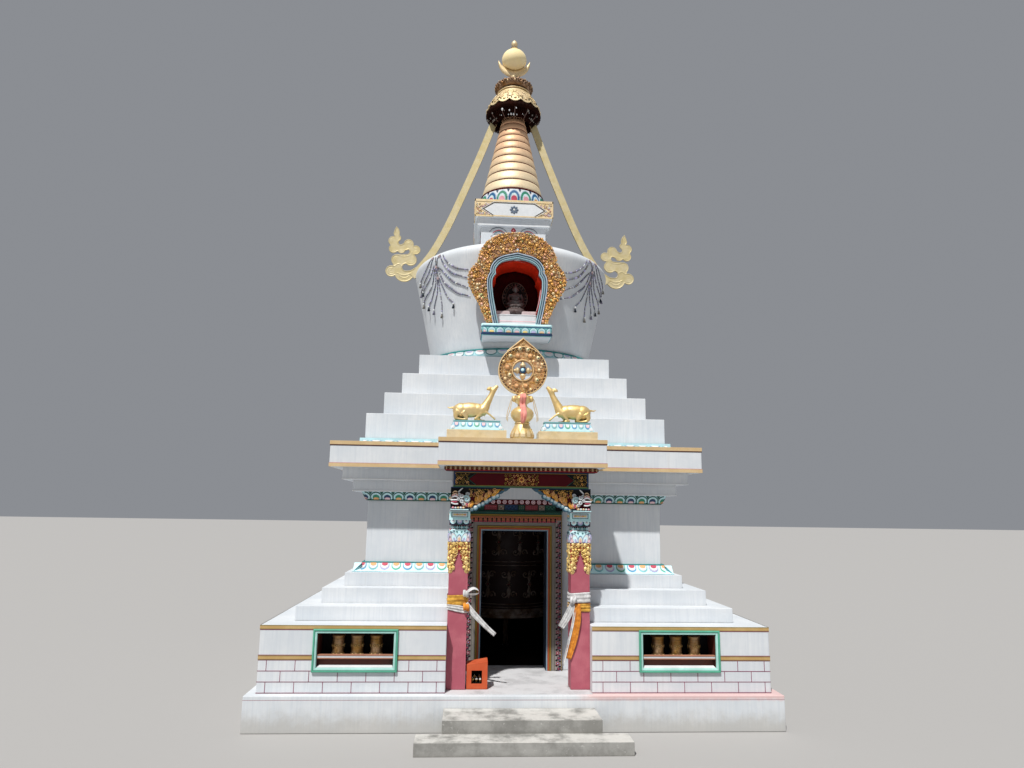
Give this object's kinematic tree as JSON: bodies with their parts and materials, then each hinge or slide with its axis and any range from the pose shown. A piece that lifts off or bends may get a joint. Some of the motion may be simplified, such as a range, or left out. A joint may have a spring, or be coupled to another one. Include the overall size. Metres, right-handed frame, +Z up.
{
  "type": "stupa",
  "caption": "Whitewashed Himalayan stupa with an entered porch and prayer-wheel chamber, terraces, a domed bell with a niche, a ringed spire, a parasol and a moon-and-sun finial.",
  "frame": {"origin": "centre of the plinth's underside", "axes": "+Z up, the porch and front steps face -Y, +X to the right seen from the front"},
  "size_m": [6.74, 7.58, 11.9],
  "materials": {
    "limewash": "matt brushed limewash",
    "concrete": "trowelled concrete",
    "lotus_paint": "turquoise paint with coloured petals",
    "maroon_paint": "painted carved timber",
    "crimson_paint": "dusty painted timber",
    "carved_gold": "gilded and painted carving",
    "gilt": "polished gilt metal",
    "pale_gilt": "pale gold painted metal",
    "orange_paint": "gloss paint on tin",
    "wheel_brass": "aged brass",
    "scarf_cloth": "thin silk",
    "figure_bronze": "dark bronze"
  },
  "bodies": {
    "stupa": {"plinth": "limewash", "base_front_left": "limewash", "base_front_right": "limewash", "base_rear": "limewash", "base_step_1": "limewash", "base_step_2": "limewash", "base_step_3": "limewash", "body": "limewash", "cornice_moulding": "limewash", "cornice_slab": "limewash", "porch_roof": "limewash", "door_wall": "limewash", "chamber_ceiling": "limewash", "terrace_1": "limewash", "terrace_2": "limewash", "terrace_3": "limewash", "terrace_4": "limewash", "dome": "limewash", "harmika_box": "limewash", "upper_front_step": "concrete", "lower_front_step": "concrete", "lower_lotus_band": "lotus_paint", "upper_lotus_band": "lotus_paint", "terrace_lotus_band": "lotus_paint", "dome_lotus_ring": "lotus_paint", "niche_sill": "lotus_paint", "door_frame": "maroon_paint", "porch_beam": "maroon_paint", "left_pillar": "crimson_paint", "right_pillar": "crimson_paint", "left_bracket": "carved_gold", "right_bracket": "carved_gold", "niche_frame": "carved_gold", "spire": "gilt", "parasol": "gilt", "crown": "gilt", "moon_and_sun": "gilt", "roof_wheel": "gilt", "wheel_vase": "gilt", "left_deer": "gilt", "right_deer": "gilt", "harmika_head": "pale_gilt", "left_strap": "pale_gilt", "right_strap": "pale_gilt", "offering_box": "orange_paint", "left_pillar_scarf": "scarf_cloth", "right_pillar_scarf": "scarf_cloth", "niche_figure": "figure_bronze"},
    "chamber_prayer_wheel": {"chamber_prayer_wheel": "wheel_brass"},
    "left_niche_wheel_1": {"left_niche_wheel_1": "wheel_brass"},
    "left_niche_wheel_2": {"left_niche_wheel_2": "wheel_brass"},
    "left_niche_wheel_3": {"left_niche_wheel_3": "wheel_brass"},
    "right_niche_wheel_1": {"right_niche_wheel_1": "wheel_brass"},
    "right_niche_wheel_2": {"right_niche_wheel_2": "wheel_brass"},
    "right_niche_wheel_3": {"right_niche_wheel_3": "wheel_brass"}
  },
  "joints": [
    {"name": "chamber_prayer_wheel_spin", "type": "hinge", "parent": "stupa", "child": "chamber_prayer_wheel", "pos_m": [0, 0, 1.83], "axis": [0, 0, 1], "continuous": true},
    {"name": "left_niche_wheel_1_spin", "type": "hinge", "parent": "stupa", "child": "left_niche_wheel_1", "pos_m": [-2.303, -3.09, 0.94], "axis": [0, 0, 1], "continuous": true},
    {"name": "left_niche_wheel_2_spin", "type": "hinge", "parent": "stupa", "child": "left_niche_wheel_2", "pos_m": [-2.063, -3.09, 0.94], "axis": [0, 0, 1], "continuous": true},
    {"name": "left_niche_wheel_3_spin", "type": "hinge", "parent": "stupa", "child": "left_niche_wheel_3", "pos_m": [-1.823, -3.09, 0.94], "axis": [0, 0, 1], "continuous": true},
    {"name": "right_niche_wheel_1_spin", "type": "hinge", "parent": "stupa", "child": "right_niche_wheel_1", "pos_m": [1.823, -3.09, 0.94], "axis": [0, 0, 1], "continuous": true},
    {"name": "right_niche_wheel_2_spin", "type": "hinge", "parent": "stupa", "child": "right_niche_wheel_2", "pos_m": [2.063, -3.09, 0.94], "axis": [0, 0, 1], "continuous": true},
    {"name": "right_niche_wheel_3_spin", "type": "hinge", "parent": "stupa", "child": "right_niche_wheel_3", "pos_m": [2.303, -3.09, 0.94], "axis": [0, 0, 1], "continuous": true}
  ]
}
